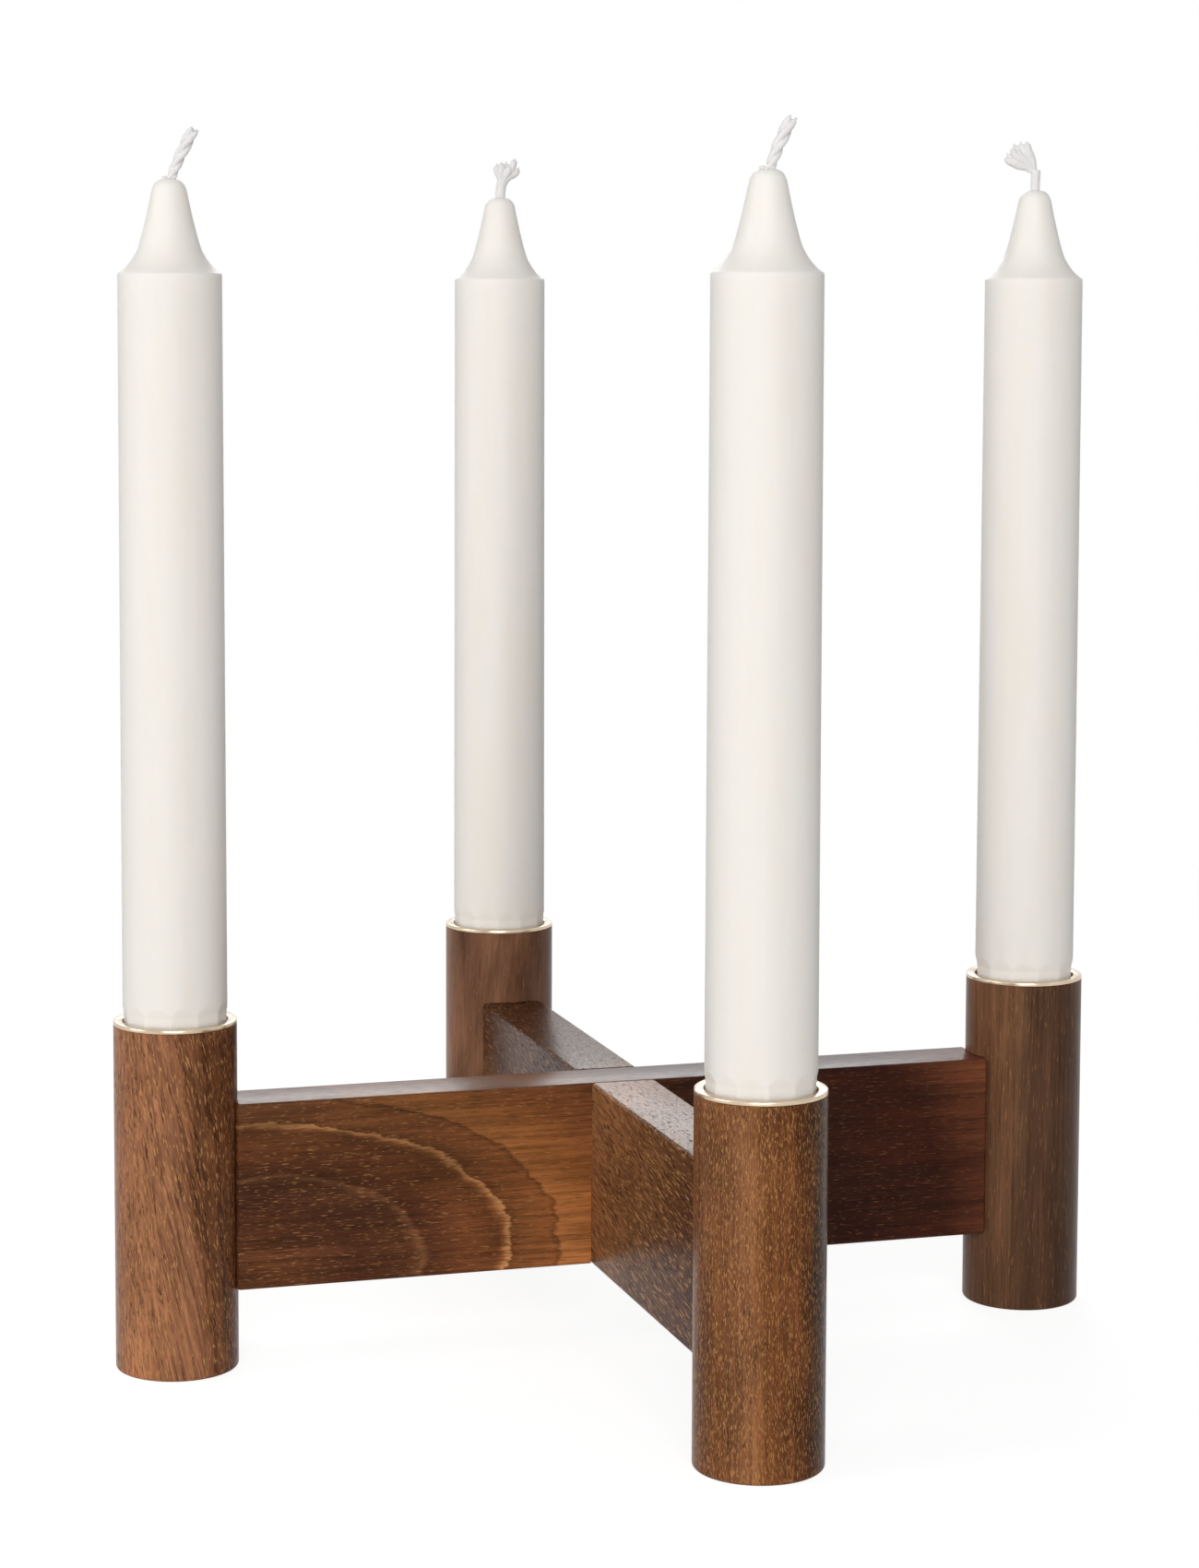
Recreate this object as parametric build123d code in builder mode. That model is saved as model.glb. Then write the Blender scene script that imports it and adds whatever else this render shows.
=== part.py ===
from build123d import *
import os
from math import cos, radians, sin

# Advent candle holder: two walnut rails halved into a cross, a round post doweled to each rail end,
# and a brass cup with a white candle let into the top of every post.
# Millimetres. The origin is on the table under the crossing and +Z is up. The side-to-side rail
# lies along X and the front-to-back rail along Y, with the front towards -Y.

# Candles
CANDLE_DIAMETER = 22.0
CANDLE_LENGTH = 200.0
CANDLE_DRAFT = 0.2  # how much the radius shrinks from the foot to the shoulder
SHOULDER_LEDGE = 0.5
TIP_LENGTH = 19.5  # from the shoulder to the top of the wax
FLARE_HEIGHT = 8.5  # from the shoulder to the end of the flare
FLARE_DIAMETER = 11.2
NECK_HEIGHT = 17.0  # from the shoulder to the start of the dome
NECK_DIAMETER = 7.7

# Fluted foot of a candle
PLUG_STAND = 3.0  # what shows of the flutes above the cup
PLUG_INSET = 0.2  # from the candle's side to the ridges, at the top of the flutes
PLUG_TAPER = 0.95  # how much the ridges draw in on their way down
PLUG_BLEND = 1.2  # height of the slope between the flutes and the round body
PLUG_BLEND_STEP = 1.0
FLUTES = 12

# Wicks
WICK_DIAMETER = 2.0
WICK_CLEARANCE = 0.05
WICK_BEND = 3.0  # radius of the bend above the wax
WICK_LAND = 0.3  # flat wax round the wick, on top of the dome
WICK_RISE = {"left": 0.6, "right": 3.0, "front": 0.6, "back": 1.0}  # upright part above the wax
WICK_LEAN = {"left": 24.0, "right": 60.0, "front": 21.0, "back": 6.0}  # degrees from upright
WICK_HEADING = {"left": -17.0, "right": 163.0, "front": -17.0, "back": -17.0}  # degrees from +X
WICK_RUN = {"left": 5.5, "right": 0.5, "front": 5.0, "back": 2.5}  # from the bend to the frayed end
FRAY_LENGTH = {"left": 4.0, "right": 6.0, "front": 3.8, "back": 5.0}
FRAY_DIAMETER = {"left": 2.7, "right": 5.0, "front": 2.7, "back": 4.6}

# Brass cups
CUP_DEPTH = 24.0  # from the flange down to the floor of the cup
CUP_WALL = 0.5
CUP_FLOOR_RADIUS = 1.0
CUP_LIP_RADIUS = 0.4
FLANGE_THICKNESS = 0.8
FLANGE_EDGE_RADIUS = 0.3
CUP_CLEARANCE = 0.05
CUP_FLOOR_ROOM = 0.4  # left under the cup in its bore

# Posts and rails
POST_SPACING = 194.0  # between the axes of two opposite posts
POST_HEIGHT = 74.0
POST_WALL = 1.45  # wood round the cup
POST_FOOT_EASE = 0.8
POST_TOP_EASE = 0.3
RAIL_HEIGHT = 40.0
RAIL_THICKNESS = 14.5
RAIL_EDGE_EASE = 0.8
LAP_CLEARANCE = 0.05
HOUSING_DEPTH = 1.4  # of the flat on the post that the rail end seats on
HOUSING_CLEARANCE = 0.1

# Dowels
DOWEL_DIAMETER = 6.0
DOWEL_LENGTH = 30.0
DOWEL_IN_POST = 13.0
DOWEL_CLEARANCE = 0.05
DOWEL_END_ROOM = 1.0
DOWEL_CHAMFER = 0.8
DOWEL_GROOVES = 10
DOWEL_GROOVE_DEPTH = 0.35

# Sizes that follow from the ones above
CUP_RADIUS = CANDLE_DIAMETER / 2
CUP_OUTER_RADIUS = CUP_RADIUS + CUP_WALL
CUP_HOLE_RADIUS = CUP_OUTER_RADIUS + CUP_CLEARANCE
POST_RADIUS = CUP_HOLE_RADIUS + POST_WALL
RIM_LEVEL = POST_HEIGHT + FLANGE_THICKNESS
FLOOR_LEVEL = RIM_LEVEL - CUP_DEPTH
CUP_BOTTOM_LEVEL = FLOOR_LEVEL - CUP_WALL
CUP_HOLE_LEVEL = CUP_BOTTOM_LEVEL - CUP_FLOOR_ROOM
PLUG_LENGTH = CUP_DEPTH + PLUG_STAND
SHOULDER_LEVEL = CANDLE_LENGTH - TIP_LENGTH
WICK_HOLE_RADIUS = WICK_DIAMETER / 2 + WICK_CLEARANCE
SEAT_DISTANCE = POST_RADIUS - HOUSING_DEPTH  # from the post's axis to the rail end
RAIL_LENGTH = POST_SPACING - 2 * SEAT_DISTANCE
RAIL_BOTTOM = (POST_HEIGHT - RAIL_HEIGHT) / 2
RAIL_MIDDLE = RAIL_BOTTOM + RAIL_HEIGHT / 2
RAIL_TOP = RAIL_BOTTOM + RAIL_HEIGHT
DOWEL_HOLE_RADIUS = DOWEL_DIAMETER / 2 + DOWEL_CLEARANCE
DOWEL_IN_RAIL = DOWEL_LENGTH - DOWEL_IN_POST

# Two dowels share the part of the rail end that lies below the cup.
DOWEL_BAND = min(RAIL_TOP, CUP_HOLE_LEVEL) - RAIL_BOTTOM
DOWEL_LEVELS = {"lower": RAIL_BOTTOM + DOWEL_BAND / 4, "upper": RAIL_BOTTOM + DOWEL_BAND * 3 / 4}

# The way out from the crossing to each post
OUTWARD = {"left": (-1, 0), "right": (1, 0), "front": (0, -1), "back": (0, 1)}

ACROSS = Plane.XY
FRONT_TO_BACK = Plane(origin=(0, 0, 0), x_dir=(0, 1, 0), z_dir=(0, 0, 1))


def post_plane(place):
    """The table under a post, with X pointing in towards the crossing."""
    out_x, out_y = OUTWARD[place]
    reach = POST_SPACING / 2
    return Plane(origin=(out_x * reach, out_y * reach, 0), x_dir=(-out_x, -out_y, 0), z_dir=(0, 0, 1))


def seat_plane(place):
    """The face of the rail end at a post, with X up and Z pointing in towards the crossing."""
    foot = post_plane(place)
    return Plane(origin=foot.from_local_coords((SEAT_DISTANCE, 0, 0)), x_dir=(0, 0, 1), z_dir=foot.x_dir)


def profile_plane(place, level):
    """An upright plane through a post's axis, with X outwards from the axis and Y up from a level."""
    axis = post_plane(place).origin
    return Plane(origin=(axis.X, axis.Y, level), x_dir=(1, 0, 0), z_dir=(0, -1, 0))


def axis_of(place):
    return Axis(post_plane(place).origin, (0, 0, 1))


def make_rail(course, ends, notch_level):
    """A rail on edge, with its long arrises eased and a half-lap notch in its lower or upper half."""
    with BuildPart() as rail:
        with BuildSketch(course.offset(RAIL_BOTTOM)):
            Rectangle(RAIL_LENGTH, RAIL_THICKNESS)
        extrude(amount=RAIL_HEIGHT)
        fillet(rail.edges(), RAIL_EDGE_EASE)
        with BuildSketch(course.offset(RAIL_MIDDLE)):
            Rectangle(RAIL_THICKNESS + 2 * LAP_CLEARANCE, RAIL_THICKNESS)
        extrude(amount=notch_level - RAIL_MIDDLE, mode=Mode.SUBTRACT)
        for place in ends:
            with BuildSketch(seat_plane(place)):
                with Locations(*[(level, 0) for level in DOWEL_LEVELS.values()]):
                    Circle(DOWEL_HOLE_RADIUS)
            extrude(amount=DOWEL_IN_RAIL + DOWEL_END_ROOM, mode=Mode.SUBTRACT)
    return rail


def make_post(place):
    """A turned post, bored for its cup, with a flat and two dowel holes for the rail end."""
    foot = post_plane(place)
    with BuildPart() as post:
        with BuildSketch(foot):
            Circle(POST_RADIUS)
        extrude(amount=POST_HEIGHT)
        fillet(post.edges().sort_by(Axis.Z)[0], POST_FOOT_EASE)
        chamfer(post.edges().sort_by(Axis.Z)[-1], POST_TOP_EASE)
        with BuildSketch(foot.offset(CUP_HOLE_LEVEL)):
            Circle(CUP_HOLE_RADIUS)
        extrude(amount=POST_HEIGHT - CUP_HOLE_LEVEL, mode=Mode.SUBTRACT)
        with BuildSketch(foot.offset(RAIL_BOTTOM - HOUSING_CLEARANCE)):
            with Locations((POST_RADIUS, 0)):
                Rectangle(2 * HOUSING_DEPTH, 2 * POST_RADIUS)
        extrude(amount=RAIL_HEIGHT + 2 * HOUSING_CLEARANCE, mode=Mode.SUBTRACT)
        with BuildSketch(seat_plane(place)):
            with Locations(*[(level, 0) for level in DOWEL_LEVELS.values()]):
                Circle(DOWEL_HOLE_RADIUS)
        extrude(amount=-(DOWEL_IN_POST + DOWEL_END_ROOM), mode=Mode.SUBTRACT)
    return post


def make_dowel(place, level):
    """A grooved beech dowel across the joint between a rail end and its post."""
    seat = seat_plane(place)
    centre = Plane(origin=seat.from_local_coords((level, 0, -DOWEL_IN_POST)), x_dir=seat.x_dir, z_dir=seat.z_dir)
    with BuildPart() as dowel:
        with BuildSketch(centre):
            Circle(DOWEL_DIAMETER / 2)
        extrude(amount=DOWEL_LENGTH)
        chamfer(dowel.edges().filter_by(GeomType.CIRCLE), DOWEL_CHAMFER)
        with BuildSketch(centre):
            with PolarLocations(DOWEL_DIAMETER / 2, DOWEL_GROOVES):
                Circle(DOWEL_GROOVE_DEPTH)
        extrude(amount=DOWEL_LENGTH, mode=Mode.SUBTRACT)
    return dowel


def make_cup(place):
    """A spun brass cup that hangs in the post by its flange."""
    top = FLANGE_THICKNESS
    floor = top - CUP_DEPTH
    bottom = floor - CUP_WALL
    rounded_corners = [
        ((CUP_RADIUS, floor), CUP_FLOOR_RADIUS),
        ((CUP_OUTER_RADIUS, bottom), CUP_FLOOR_RADIUS + CUP_WALL),
        ((CUP_RADIUS, top), CUP_LIP_RADIUS),
        ((POST_RADIUS, top), FLANGE_EDGE_RADIUS),
    ]
    with BuildPart() as cup:
        with BuildSketch(profile_plane(place, POST_HEIGHT)) as section:
            with BuildLine():
                Polyline(
                    (0, floor),
                    (CUP_RADIUS, floor),
                    (CUP_RADIUS, top),
                    (POST_RADIUS, top),
                    (POST_RADIUS, 0),
                    (CUP_OUTER_RADIUS, 0),
                    (CUP_OUTER_RADIUS, bottom),
                    (0, bottom),
                    close=True,
                )
            make_face()
            for corner, radius in rounded_corners:
                fillet(section.vertices().sort_by_distance(corner)[0], radius)
        revolve(axis=axis_of(place))
    return cup


def make_candle(place):
    """A cast candle: fluted foot, round body, waisted tip and a hole for its wick."""
    base = post_plane(place).offset(FLOOR_LEVEL)
    radius = CANDLE_DIAMETER / 2
    shoulder = radius - CANDLE_DRAFT
    ridge = radius - PLUG_INSET
    flare_end = (FLARE_DIAMETER / 2, SHOULDER_LEVEL + FLARE_HEIGHT)
    neck_end = (NECK_DIAMETER / 2, SHOULDER_LEVEL + NECK_HEIGHT)
    neck_slope = Vector(neck_end) - Vector(flare_end)
    with BuildPart() as candle:
        with BuildSketch(base):
            RegularPolygon(ridge - PLUG_TAPER, FLUTES)
        with BuildSketch(base.offset(PLUG_LENGTH)):
            RegularPolygon(ridge, FLUTES)
        loft(ruled=True)
        with BuildSketch(profile_plane(place, FLOOR_LEVEL)):
            with BuildLine():
                body = Polyline(
                    (0, PLUG_LENGTH - PLUG_BLEND),
                    (radius - PLUG_BLEND_STEP, PLUG_LENGTH - PLUG_BLEND),
                    (radius, PLUG_LENGTH),
                    (shoulder, SHOULDER_LEVEL),
                    (shoulder - SHOULDER_LEDGE, SHOULDER_LEVEL),
                )
                TangentArc(flare_end, body @ 1, tangent=-neck_slope)
                Line(flare_end, neck_end)
                dome = TangentArc(neck_end, (WICK_HOLE_RADIUS + WICK_LAND, CANDLE_LENGTH), tangent=neck_slope)
                Polyline(dome @ 1, (0, CANDLE_LENGTH), body @ 0)
            make_face()
        revolve(axis=axis_of(place))
        with BuildSketch(base):
            Circle(WICK_HOLE_RADIUS)
        extrude(amount=CANDLE_LENGTH, mode=Mode.SUBTRACT)
    return candle


def make_wick(place):
    """A cotton wick down the middle of a candle, bent over and frayed above the wax."""
    base = post_plane(place).offset(FLOOR_LEVEL)
    heading = radians(WICK_HEADING[place])
    lean = radians(WICK_LEAN[place])
    bend_level = CANDLE_LENGTH + WICK_RISE[place]
    upright = Plane(
        origin=base.origin,
        x_dir=(cos(heading), sin(heading), 0),
        z_dir=(sin(heading), -cos(heading), 0),
    )
    with BuildPart() as wick:
        with BuildLine(upright) as course:
            Line((0, 0), (0, bend_level))
            bend = JernArc((0, bend_level), (0, 1), WICK_BEND, -WICK_LEAN[place])
            Line(bend @ 1, bend @ 1 + WICK_RUN[place] * (bend % 1))
        with BuildSketch(base):
            Circle(WICK_DIAMETER / 2)
        sweep(path=course.wires()[0])
        fray = Plane(origin=course.line @ 1, z_dir=course.line % 1)
        with BuildSketch(fray):
            Circle(WICK_DIAMETER / 2)
        with BuildSketch(fray.offset(FRAY_LENGTH[place])):
            Circle(FRAY_DIAMETER[place] / 2)
        loft()
    return wick


def save(piece, name):
    piece.part.label = name
    export_step(piece.part, f"parts/{name}.step")


os.makedirs("parts", exist_ok=True)
save(make_rail(ACROSS, ("left", "right"), RAIL_BOTTOM), "rail_side_to_side")
save(make_rail(FRONT_TO_BACK, ("front", "back"), RAIL_TOP), "rail_front_to_back")
for place in OUTWARD:
    save(make_post(place), f"post_{place}")
    for row, level in DOWEL_LEVELS.items():
        save(make_dowel(place, level), f"dowel_{place}_{row}")
    save(make_cup(place), f"candle_cup_{place}")
    save(make_candle(place), f"candle_{place}")
    save(make_wick(place), f"wick_{place}")
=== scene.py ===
import math
import random

import bpy
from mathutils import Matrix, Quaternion, Vector
from mathutils.geometry import interpolate_bezier


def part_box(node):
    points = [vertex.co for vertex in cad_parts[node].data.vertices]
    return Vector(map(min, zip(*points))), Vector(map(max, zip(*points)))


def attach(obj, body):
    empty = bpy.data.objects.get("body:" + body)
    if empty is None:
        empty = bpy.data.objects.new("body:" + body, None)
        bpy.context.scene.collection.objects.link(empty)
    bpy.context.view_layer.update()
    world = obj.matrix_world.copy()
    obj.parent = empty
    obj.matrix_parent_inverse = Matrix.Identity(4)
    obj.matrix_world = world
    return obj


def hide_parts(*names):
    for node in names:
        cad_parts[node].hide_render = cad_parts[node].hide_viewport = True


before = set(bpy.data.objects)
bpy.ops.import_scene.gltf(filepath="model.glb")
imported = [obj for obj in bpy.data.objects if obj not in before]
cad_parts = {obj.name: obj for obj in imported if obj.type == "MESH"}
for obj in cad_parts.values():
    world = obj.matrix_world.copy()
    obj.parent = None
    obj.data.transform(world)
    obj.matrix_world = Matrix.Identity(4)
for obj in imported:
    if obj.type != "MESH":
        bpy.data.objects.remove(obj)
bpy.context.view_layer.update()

# Crossed rails: two planed walnut boards that stand on edge and are halved into each other.
# The side-to-side rail is notched from below, so it runs through on top of the crossing.
# All arrises are eased with sandpaper, and the wood is rubbed with oil.
MM = 0.001
RAIL_EASE = 0.8 * MM
EASE_STEPS = 4
LAP_CLEARANCE = 0.05 * MM
CREASE_ANGLE = 30
# Inputs of a Map Range node for a noise, nearly all of which lies between these two values.
NOISE_RANGE = {1: 0.3, 2: 0.7}
# Widths and lengths in mm of the spots that make the wood's figure, along the fibres.
WANDER_SPOT = (7, 16)
RAGGED_SPOT = (0.7, 3)
STREAK_SPOT = (0.7, 26)
CLOUD_SPOT = (9, 30)
# How far the growth bands wander, and how ragged their edges are, in the same measure as their distances.
BAND_WANDER = 0.022
BAND_RAGGED = 0.01
# A pore begins at the first level of its noise and is whole at the second. A painted glint is whole
# this far above the level where it begins.
PORE_START = 0.58
PORE_END = 0.7
GLINT_EDGE = 0.11
PORE_DEPTH = 0.05 * MM


def linear(hex_colour):
    """An sRGB hex colour as linear RGBA."""
    parts = [int(hex_colour[i : i + 2], 16) / 255 for i in (1, 3, 5)]
    return [c / 12.92 if c <= 0.04045 else ((c + 0.055) / 1.055) ** 2.4 for c in parts] + [1.0]


def add_node(tree, kind, inputs=None, **settings):
    """Adds a node with its settings, and gives each input a value, a socket or a node's first output."""
    node = tree.nodes.new(kind)
    for name, value in settings.items():
        setattr(node, name, value)
    for socket, value in (inputs or {}).items():
        if isinstance(value, bpy.types.Node):
            value = value.outputs[0]
        if isinstance(value, bpy.types.NodeSocket):
            tree.links.new(value, node.inputs[socket])
        else:
            node.inputs[socket].default_value = value
    return node


def new_material(name):
    """An empty node material, its tree and the socket with coordinates on the object, in metres."""
    material = bpy.data.materials.new(name)
    material.use_nodes = True
    tree = material.node_tree
    tree.nodes.clear()
    return material, tree, add_node(tree, "ShaderNodeTexCoord").outputs["Object"]


def set_colours(ramp, stops):
    """Gives a colour ramp its stops, as places from 0 to 1 with hex colours."""
    while len(ramp.color_ramp.elements) < len(stops):
        ramp.color_ramp.elements.new(1.0)
    for element, (position, colour) in zip(ramp.color_ramp.elements, stops):
        element.position = position
        element.color = linear(colour)


def walnut(
    name,
    heart,
    heart_turn,
    reach,
    fibre_turn,
    bands,
    painted_light_pool,
    streak,
    cloud,
    pore,
    pore_size,
    glint,
    glint_size,
    glint_start,
):
    """Oiled walnut: growth bands that bend round a heart, with streaks and open pores along the fibres.

    heart is a point in mm. The band at distance 1 lies at reach, in mm, along the axes that heart_turn
    gives, and bands lists distances with their colours. fibre_turn turns Z to the way the fibres run.
    pale paints a pool of light: a point in mm, a radius round it and how many times lighter the wood is
    drawn there. streak and cloud say how strongly the long and the broad patches differ in brightness.
    pore is how dark the open pores are, and fleck how light the painted glints are in the first and the
    last band: pale dashes where pores catch the light. Their sizes are widths and lengths in mm, and a
    lower glint_start gives more glints. Pores and glints are drawn about twice as wide as real ones,
    which are too fine to show.
    """
    material, tree, coords = new_material(name)
    fibre = [math.radians(angle) for angle in fibre_turn]

    def drawn_out(width, length, detail):
        """Noise drawn out along the fibres, in spots of a width and a length in mm."""
        size = (width * MM, width * MM, length * MM)
        mapping = {"Vector": coords, "Rotation": fibre, "Scale": size}
        along = add_node(tree, "ShaderNodeMapping", mapping, vector_type="TEXTURE")
        spots = {"Vector": along, "Scale": 1.0, "Detail": detail, "Distortion": 0.5}
        return add_node(tree, "ShaderNodeTexNoise", spots)

    log = {
        "Vector": coords,
        "Location": [c * MM for c in heart],
        "Rotation": [math.radians(angle) for angle in heart_turn],
        "Scale": [r * MM for r in reach],
    }
    centred = add_node(tree, "ShaderNodeMapping", log, vector_type="TEXTURE")
    distance = add_node(tree, "ShaderNodeVectorMath", {0: centred}, operation="LENGTH").outputs["Value"]
    bent = distance
    for spot, swing in ((WANDER_SPOT, BAND_WANDER), (RAGGED_SPOT, BAND_RAGGED)):
        sway = {0: drawn_out(*spot, 2), **NOISE_RANGE, 3: -swing, 4: swing}
        sway = add_node(tree, "ShaderNodeMapRange", sway)
        bent = add_node(tree, "ShaderNodeMath", {0: bent, 1: sway}, operation="ADD")
    first, last = bands[0][0], bands[-1][0]
    along_bands = add_node(tree, "ShaderNodeMapRange", {0: bent, 1: first, 2: last})
    growth = add_node(tree, "ShaderNodeValToRGB", {0: along_bands})
    set_colours(growth, [((d - first) / (last - first), colour) for d, colour in bands])

    # Painted light: the wood is drawn lighter round a point, fading out over a radius, as a painted pool
    # of the light that the white floor throws up onto the wood.
    light_pool_place, light_pool_radius, light_pool_gain = painted_light_pool
    centre = {0: coords, 1: [c * MM for c in light_pool_place]}
    off = add_node(tree, "ShaderNodeVectorMath", centre, operation="DISTANCE").outputs["Value"]
    fall = {0: off, 1: 0.0, 2: light_pool_radius * MM, 3: light_pool_gain, 4: 1.0}
    value = add_node(tree, "ShaderNodeMapRange", fall, interpolation_type="SMOOTHSTEP")
    for noise, swing in ((drawn_out(*STREAK_SPOT, 3), streak), (drawn_out(*CLOUD_SPOT, 2), cloud)):
        level = add_node(tree, "ShaderNodeMapRange", {0: noise, **NOISE_RANGE, 3: 1 - swing, 4: 1 + swing})
        value = add_node(tree, "ShaderNodeMath", {0: level, 1: value}, operation="MULTIPLY")
    shaded = add_node(tree, "ShaderNodeHueSaturation", {"Color": growth, "Value": value})

    pores = drawn_out(*pore_size, 1)
    pores = add_node(tree, "ShaderNodeMapRange", {0: pores, 1: PORE_START, 2: PORE_END, 3: 0.0, 4: pore})
    # Painted glints: pale dashes drawn into the colour where pores catch the light, as painted highlights.
    flecks_and_glints = drawn_out(*glint_size, 1)
    flecks_and_glints = add_node(tree, "ShaderNodeMapRange", {0: flecks_and_glints, 1: glint_start, 2: glint_start + GLINT_EDGE})
    fading = {0: distance, 1: first, 2: last, 3: glint[0], 4: glint[1]}
    fading = add_node(tree, "ShaderNodeMapRange", fading)
    flecks_and_glints = add_node(tree, "ShaderNodeMath", {0: flecks_and_glints, 1: fading}, operation="MULTIPLY")
    dark = add_node(tree, "ShaderNodeMixRGB", {0: pores, 1: shaded, 2: linear("#24130b")})
    colour = add_node(tree, "ShaderNodeMixRGB", {0: flecks_and_glints, 1: dark, 2: linear("#c08d5a")})
    relief = add_node(tree, "ShaderNodeMath", {0: value, 1: pores}, operation="SUBTRACT")
    bump = add_node(tree, "ShaderNodeBump", {"Height": relief, "Strength": 0.3, "Distance": PORE_DEPTH})
    rough = add_node(tree, "ShaderNodeMapRange", {0: pores, 3: 0.28, 4: 0.6})
    wood = {
        "Base Color": colour,
        "Roughness": rough,
        "Normal": bump,
        "IOR": 1.5,
        "Specular IOR Level": 0.06,
    }
    surface = add_node(tree, "ShaderNodeBsdfPrincipled", wood)
    add_node(tree, "ShaderNodeOutputMaterial", {"Surface": surface})
    return material


def finish_piece(piece, name, material, body, slot, *nodes):
    """Names a finished piece, gives it its material and ties it to the frame."""
    piece.name = name
    piece.data.name = name
    piece.data.materials.clear()
    piece.data.materials.append(material)
    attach(piece, body)
    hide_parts(*nodes)


def add_box(low, high):
    """A new box between two corners, with its place and size in its mesh."""
    bpy.ops.object.select_all(action="DESELECT")
    bpy.ops.mesh.primitive_cube_add(size=1, location=(low + high) / 2, scale=high - low)
    bpy.ops.object.transform_apply(location=True, rotation=True, scale=True)
    return bpy.context.object


def shape_with(piece, other, operation):
    """Cuts another solid out of the piece, or joins it to the piece, and removes the other one."""
    boolean = piece.modifiers.new("shape", "BOOLEAN")
    boolean.operation = operation
    boolean.object = other
    bpy.context.view_layer.objects.active = piece
    bpy.ops.object.modifier_apply(modifier=boolean.name)
    bpy.data.objects.remove(other)


def smooth(piece, angle):
    """Shades the piece smooth, except over edges sharper than an angle in degrees."""
    bpy.ops.object.select_all(action="DESELECT")
    piece.select_set(True)
    bpy.context.view_layer.objects.active = piece
    bpy.ops.object.shade_smooth_by_angle(angle=math.radians(angle))


# Each rail's figure has a painted pool of light, where the wood is drawn lighter round a point near the
# crossing.
rail_walnut = {
    "rail_side_to_side": walnut(
        "oiled_walnut_with_curl",
        heart=(-80, -7.2, 22),
        heart_turn=(0, 0, 0),
        reach=(54.5, 100, 30),
        fibre_turn=(0, 90, 0),
        bands=[
            (0.0, "#6f4127"),
            (0.15, "#5e3722"),
            (0.41, "#4d2b1b"),
            (0.60, "#52301d"),
            (0.635, "#6f482e"),
            (0.655, "#4c2a19"),
            (0.84, "#5f361e"),
            (0.955, "#533019"),
            (0.985, "#714526"),
            (1.0, "#a2734a"),
            (1.012, "#533018"),
            (1.07, "#633b20"),
            (1.17, "#6a3f22"),
            (1.185, "#6f4324"),
            (1.197, "#361c0d"),
            (1.21, "#7f4f2b"),
            (1.35, "#7d4d28"),
            (1.53, "#764728"),
            (1.76, "#683f25"),
            (1.95, "#472619"),
            (2.21, "#371a11"),
            (2.85, "#39190f"),
            (3.17, "#683a25"),
        ],
        painted_light_pool=((-11, -7, 13), 50, 2.2),
        streak=0.32,
        cloud=0.3,
        pore=0.5,
        pore_size=(0.26, 4),
        glint=(0.55, 0.1),
        glint_size=(0.26, 2.0),
        glint_start=0.61,
    ),
    "rail_front_to_back": walnut(
        "oiled_walnut_slanting",
        heart=(-10, 60, 70),
        heart_turn=(0, 0, 0),
        reach=(60, 90, 45),
        fibre_turn=(100, 0, 6),
        bands=[
            # The first two bands, on the rail's back half, are drawn darker: partly the wood's own tone
            # and partly painted shade, standing in for the shade on its left face there.
            (0.2, "#442414"),
            (0.6, "#4c2a18"),
            (0.8, "#956541"),
            (1.2, "#71482d"),
            (1.36, "#704a2e"),
            (1.6, "#5b3927"),
            (1.9, "#482b1e"),
        ],
        painted_light_pool=((-7, -8, 32), 34, 1.5),
        streak=0.45,
        cloud=0.2,
        pore=0.85,
        pore_size=(0.35, 7),
        glint=(0.4, 1.0),
        glint_size=(0.36, 6),
        glint_start=0.57,
    ),
}
for node, upper_half in (("rail_side_to_side", False), ("rail_front_to_back", True)):
    low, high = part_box(node)
    rail = add_box(low, high)
    bpy.ops.object.mode_set(mode="EDIT")
    bpy.ops.mesh.select_all(action="SELECT")
    bpy.ops.mesh.bevel(offset=RAIL_EASE, segments=EASE_STEPS, affect="EDGES")
    bpy.ops.object.mode_set(mode="OBJECT")
    half = min(high.x - low.x, high.y - low.y) / 2 + LAP_CLEARANCE
    middle = (low.z + high.z) / 2
    notch_low = Vector((-half, -half, middle if upper_half else low.z - RAIL_EASE))
    notch_high = Vector((half, half, high.z + RAIL_EASE if upper_half else middle))
    shape_with(rail, add_box(notch_low, notch_high), "DIFFERENCE")
    smooth(rail, CREASE_ANGLE)
    finish_piece(rail, f"walnut_{node}", rail_walnut[node], "stand", "walnut", node)

# Dowels: grooved beech pins, glued across the joint between each rail end and its post.
# They stay hidden in the wood, so the exact solids are shown, with the fine flecks of raw beech.
BEECH_FLECK = (0.5 * MM, 0.5 * MM, 4 * MM)
beech, tree, coords = new_material("raw_beech")
along = {"Vector": coords, "Scale": BEECH_FLECK}
grain = add_node(tree, "ShaderNodeMapping", along, vector_type="TEXTURE")
flecks_and_glints = add_node(tree, "ShaderNodeTexNoise", {"Vector": grain, "Scale": 1.0, "Detail": 3.0})
tone = add_node(tree, "ShaderNodeValToRGB", {0: flecks_and_glints})
set_colours(tone, [(0.35, "#b98a5e"), (0.65, "#d9b48a")])
surface = add_node(tree, "ShaderNodeBsdfPrincipled", {"Base Color": tone, "Roughness": 0.7})
add_node(tree, "ShaderNodeOutputMaterial", {"Surface": surface})
for name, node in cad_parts.items():
    if name.startswith("dowel_"):
        node.data.materials.clear()
        node.data.materials.append(beech)

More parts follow.
